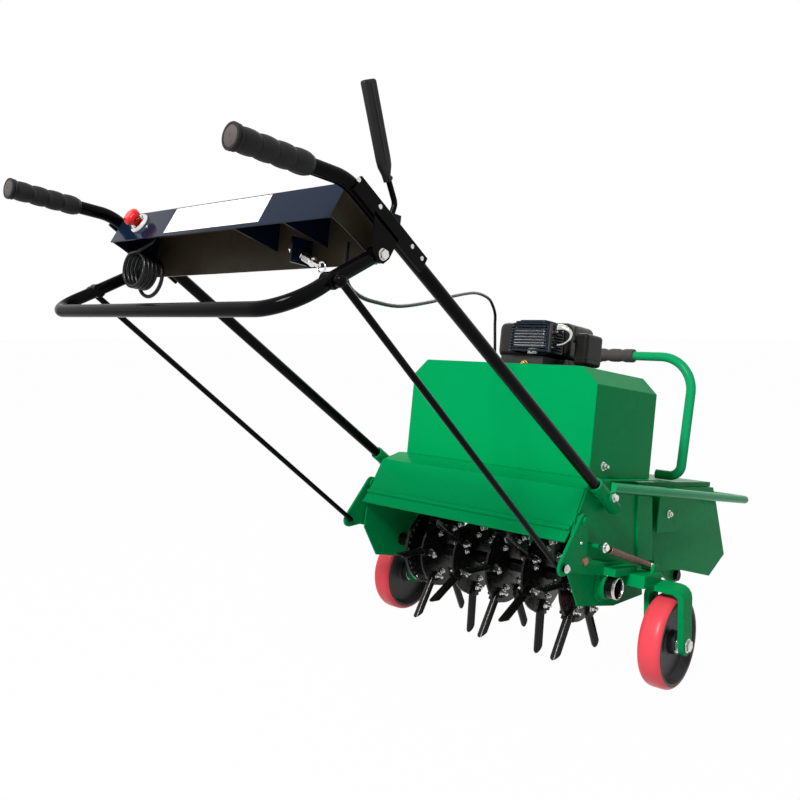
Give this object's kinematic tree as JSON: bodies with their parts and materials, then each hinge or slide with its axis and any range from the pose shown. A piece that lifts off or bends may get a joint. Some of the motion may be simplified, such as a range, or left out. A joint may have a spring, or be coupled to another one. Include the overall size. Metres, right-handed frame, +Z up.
{
  "type": "lawn aerator",
  "caption": "Walk-behind petrol lawn aerator with a spoon-tine reel, hand-lifted rear wheels, a front weight box, a front wheel and a tubular handle with a control panel.",
  "frame": {"origin": "centre of the machine's box on the floor that its three wheels stand on", "axes": "+X to the machine's right, +Y forward from the handle to the front hoop, +Z up"},
  "size_m": [0.848, 1.821, 1.1139],
  "materials": {
    "green_paint": "gloss",
    "black_paint": "gloss",
    "black_rubber": "matte",
    "red_tread": "satin",
    "wheel_core": "satin",
    "zinc_steel": "satin",
    "dark_steel": "satin",
    "engine_iron": "matte",
    "black_plastic": "satin",
    "red_knob": "gloss",
    "white_label": "satin",
    "spring_steel": "satin",
    "cast_weight": "matte"
  },
  "bodies": {
    "chassis": {"side_plate_right": "green_paint", "side_plate_left": "green_paint", "deck_plate": "green_paint", "rear_apron": "green_paint", "hood": "green_paint", "front_box": "green_paint", "box_lid": "green_paint", "ballast_block": "cast_weight", "bumper": "green_paint", "lift_handle": "green_paint", "lift_handle_grip": "black_rubber", "front_axle": "black_paint", "handle_tube_right": "black_paint", "handle_tube_left": "black_paint", "grip_right": "black_rubber", "grip_left": "black_rubber", "control_panel": "black_paint", "panel_label": "white_label", "stop_bezel": "zinc_steel", "control_cable": "black_rubber", "cable_coil": "black_rubber", "engine_block": "engine_iron", "fuel_tank": "black_plastic", "air_cleaner": "black_plastic", "muffler": "zinc_steel", "muffler_guard": "black_paint", "drive_belt": "black_rubber", "drive_chain": "dark_steel", "bearing_right": "zinc_steel", "bearing_left": "zinc_steel", "spring_right": "spring_steel", "spring_left": "spring_steel"},
    "reel": {"reel_shaft": "dark_steel", "reel_sprocket": "zinc_steel", "tine_wheel_1": "dark_steel", "tine_wheel_2": "dark_steel", "tine_wheel_3": "dark_steel", "tine_wheel_4": "dark_steel", "tine_wheel_5": "dark_steel"},
    "jackshaft": {"jackshaft": "zinc_steel"},
    "engine_pulley": {"engine_pulley": "zinc_steel"},
    "bail": {"bail": "black_paint"},
    "rod_right": {"rod_right": "black_paint"},
    "rod_left": {"rod_left": "black_paint"},
    "lift_right": {"lift_arm_right": "green_paint", "axle_bolt_right": "zinc_steel"},
    "lift_left": {"lift_arm_left": "green_paint", "axle_bolt_left": "zinc_steel"},
    "wheel_right": {"wheel_core_right": "wheel_core", "wheel_tyre_right": "red_tread"},
    "wheel_left": {"wheel_core_left": "wheel_core", "wheel_tyre_left": "red_tread"},
    "wheel_front": {"wheel_core_front": "wheel_core", "wheel_tyre_front": "red_tread"},
    "long_lever": {"long_lever": "black_paint"},
    "lock_pin": {"lock_pin": "zinc_steel"},
    "stop_knob": {"stop_knob": "red_knob"},
    "choke_lever": {"choke_lever": "black_plastic"}
  },
  "joints": [
    {"name": "bail_hinge", "type": "hinge", "parent": "chassis", "child": "bail", "pos_m": [0, -0.67287, 0.86892], "axis": [1, 0, 0], "range_deg": [0, 22]},
    {"name": "lift_right_hinge", "type": "hinge", "parent": "chassis", "child": "lift_right", "pos_m": [0, -0.07015, 0.38628], "axis": [1, 0, 0], "range_deg": [0, 18.2], "deforming": ["spring_right"]},
    {"name": "lift_left_hinge", "type": "hinge", "parent": "chassis", "child": "lift_left", "pos_m": [0, -0.07015, 0.38628], "axis": [1, 0, 0], "range_deg": [0, 18.2], "deforming": ["spring_left"]},
    {"name": "rod_right_hinge", "type": "hinge", "parent": "bail", "child": "rod_right", "pos_m": [0, -0.75934, 0.8312], "axis": [1, 0, 0], "range_deg": [-21.3, 0]},
    {"name": "rod_left_hinge", "type": "hinge", "parent": "bail", "child": "rod_left", "pos_m": [0, -0.75934, 0.8312], "axis": [1, 0, 0], "range_deg": [-21.3, 0]},
    {"name": "reel_spin", "type": "hinge", "parent": "chassis", "child": "reel", "pos_m": [0, 0.029, 0.23004], "axis": [1, 0, 0], "continuous": true},
    {"name": "jackshaft_spin", "type": "hinge", "parent": "chassis", "child": "jackshaft", "pos_m": [0, 0.17821, 0.3636], "axis": [1, 0, 0], "continuous": true},
    {"name": "engine_pulley_spin", "type": "hinge", "parent": "chassis", "child": "engine_pulley", "pos_m": [0, 0.18263, 0.52975], "axis": [1, 0, 0], "continuous": true},
    {"name": "wheel_right_spin", "type": "hinge", "parent": "lift_right", "child": "wheel_right", "pos_m": [0.3724, 0.14922, 0.1], "axis": [1, 0, 0], "continuous": true},
    {"name": "wheel_left_spin", "type": "hinge", "parent": "lift_left", "child": "wheel_left", "pos_m": [-0.3724, 0.14922, 0.1], "axis": [1, 0, 0], "continuous": true},
    {"name": "wheel_front_spin", "type": "hinge", "parent": "chassis", "child": "wheel_front", "pos_m": [0, 0.59707, 0.1], "axis": [1, 0, 0], "continuous": true},
    {"name": "long_lever_hinge", "type": "hinge", "parent": "chassis", "child": "long_lever", "pos_m": [0.2625, -0.60867, 0.92006], "axis": [1, 0, 0], "range_deg": [-35, 15]},
    {"name": "lock_pin_pull", "type": "slide", "parent": "chassis", "child": "lock_pin", "axis": [0.9205, -0.0573, -0.3865], "range_m": [0, 0.009], "stiffness_N_per_m": 600, "springref_m": -0.004},
    {"name": "stop_knob_push", "type": "slide", "parent": "chassis", "child": "stop_knob", "axis": [0, 0.8279, -0.5608], "range_m": [0, 0.005], "stiffness_N_per_m": 800, "springref_m": -0.002},
    {"name": "choke_hinge", "type": "hinge", "parent": "chassis", "child": "choke_lever", "pos_m": [0.1115, 0.19248, 0.7325], "axis": [1, 0, 0], "range_deg": [-50, 25]}
  ],
  "couplings": [
    {"joint": "lift_right_hinge", "follows": "bail_hinge", "ratio": 0.8205},
    {"joint": "lift_left_hinge", "follows": "bail_hinge", "ratio": 0.8205},
    {"joint": "rod_right_hinge", "follows": "bail_hinge", "ratio": -0.9594},
    {"joint": "rod_left_hinge", "follows": "bail_hinge", "ratio": -0.9594},
    {"joint": "jackshaft_spin", "follows": "reel_spin", "ratio": 3.2},
    {"joint": "engine_pulley_spin", "follows": "reel_spin", "ratio": 4.9655}
  ]
}
